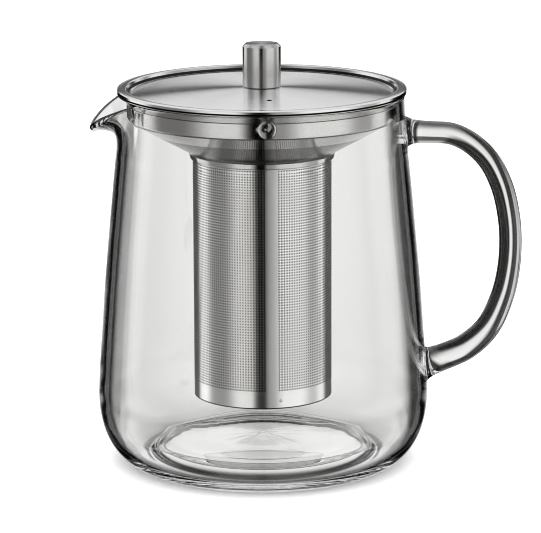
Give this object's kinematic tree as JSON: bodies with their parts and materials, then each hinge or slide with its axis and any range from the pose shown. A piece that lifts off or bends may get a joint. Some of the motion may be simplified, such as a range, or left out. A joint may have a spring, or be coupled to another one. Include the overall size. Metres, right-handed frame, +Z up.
{
  "type": "glass teapot",
  "caption": "Clear glass teapot with a beak spout and a glass loop handle, a lift-out perforated steel infuser with a funnel collar, and a flat steel lid with a cylindrical knob.",
  "frame": {"origin": "on the table plane, at the middle of the footprint of the whole pot from spout tip to handle; the vertical axis of body, infuser and lid stands 16.7 mm towards the spout, at x = -0.0167 m", "axes": "+Z up; +X towards the handle; -X towards the spout"},
  "size_m": [0.1624, 0.1248, 0.1602],
  "materials": {
    "clear_glass": "clear borosilicate glass, fire-polished",
    "handle_glass": "clear solid glass rod, fire-polished",
    "polished_steel": "bright polished stainless steel",
    "brushed_steel": "circular brushed stainless steel",
    "strainer_steel": "fine satin stainless sheet with a square grid of round perforations",
    "fastener_steel": "plain stainless fastener"
  },
  "bodies": {
    "pot": {"glass_body": "clear_glass", "glass_handle": "handle_glass"},
    "infuser": {"infuser_funnel": "polished_steel", "infuser_ring": "polished_steel", "infuser_basket": "strainer_steel", "infuser_base": "strainer_steel"},
    "lid": {"lid_dish": "brushed_steel", "lid_knob": "brushed_steel", "lid_washer": "fastener_steel", "lid_screw": "fastener_steel"}
  },
  "joints": [
    {"name": "infuser_lift", "type": "slide", "parent": "pot", "child": "infuser", "axis": [0, 0, 1], "range_m": [0, 0.125]},
    {"name": "lid_lift", "type": "slide", "parent": "infuser", "child": "lid", "axis": [0, 0, 1], "range_m": [0, 0.06]}
  ]
}
